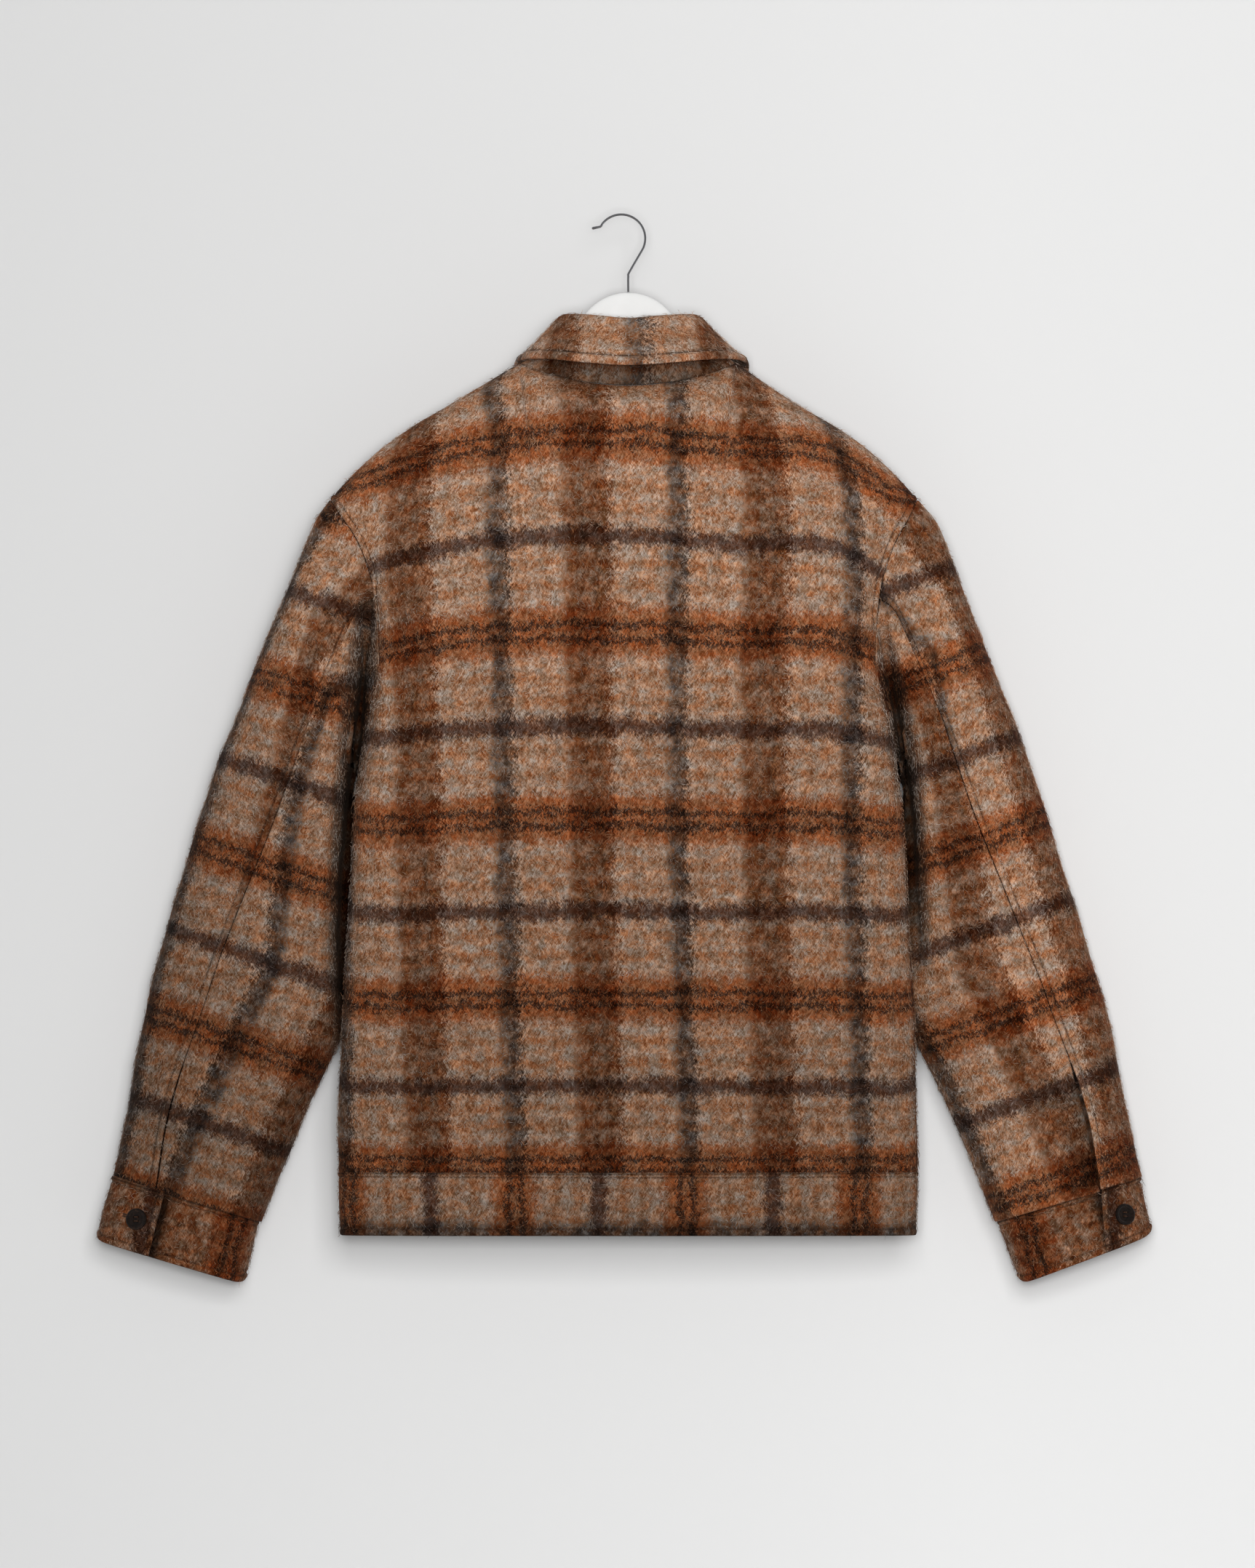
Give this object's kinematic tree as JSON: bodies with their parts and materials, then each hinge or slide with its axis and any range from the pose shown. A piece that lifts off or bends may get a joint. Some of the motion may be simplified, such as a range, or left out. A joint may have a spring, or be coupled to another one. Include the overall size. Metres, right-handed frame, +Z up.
{
  "type": "checked wool jacket on a hanger",
  "caption": "Short brushed-wool jacket in a rust, oatmeal and charcoal check, buttoned, hung from a white hanger with a wire hook.",
  "frame": {"origin": "the hook's bearing point, where the inside of the wire rests on a rail", "axes": "+Z up, -Y towards the jacket's back, +X towards its right sleeve"},
  "size_m": [0.8795, 0.1658, 0.8962],
  "materials": {
    "wool_check": "brushed",
    "button_horn": "satin",
    "hanger_white": "satin",
    "hook_chrome": "polished"
  },
  "bodies": {
    "root": {"back": "wool_check", "front_left": "wool_check", "front_right": "wool_check", "sleeve_upper_left": "wool_check", "sleeve_under_left": "wool_check", "sleeve_upper_right": "wool_check", "sleeve_under_right": "wool_check", "cuff_left": "wool_check", "cuff_right": "wool_check", "hem_band_back": "wool_check", "hem_band_front_left": "wool_check", "hem_band_front_right": "wool_check", "collar_stand": "wool_check", "collar_fall": "wool_check", "cuff_button_left": "button_horn", "cuff_button_right": "button_horn", "front_button_1": "button_horn", "front_button_2": "button_horn", "front_button_3": "button_horn", "front_button_4": "button_horn", "front_button_5": "button_horn", "front_button_6": "button_horn", "hanger_body": "hanger_white", "hanger_hook": "hook_chrome"}
  },
  "joints": []
}
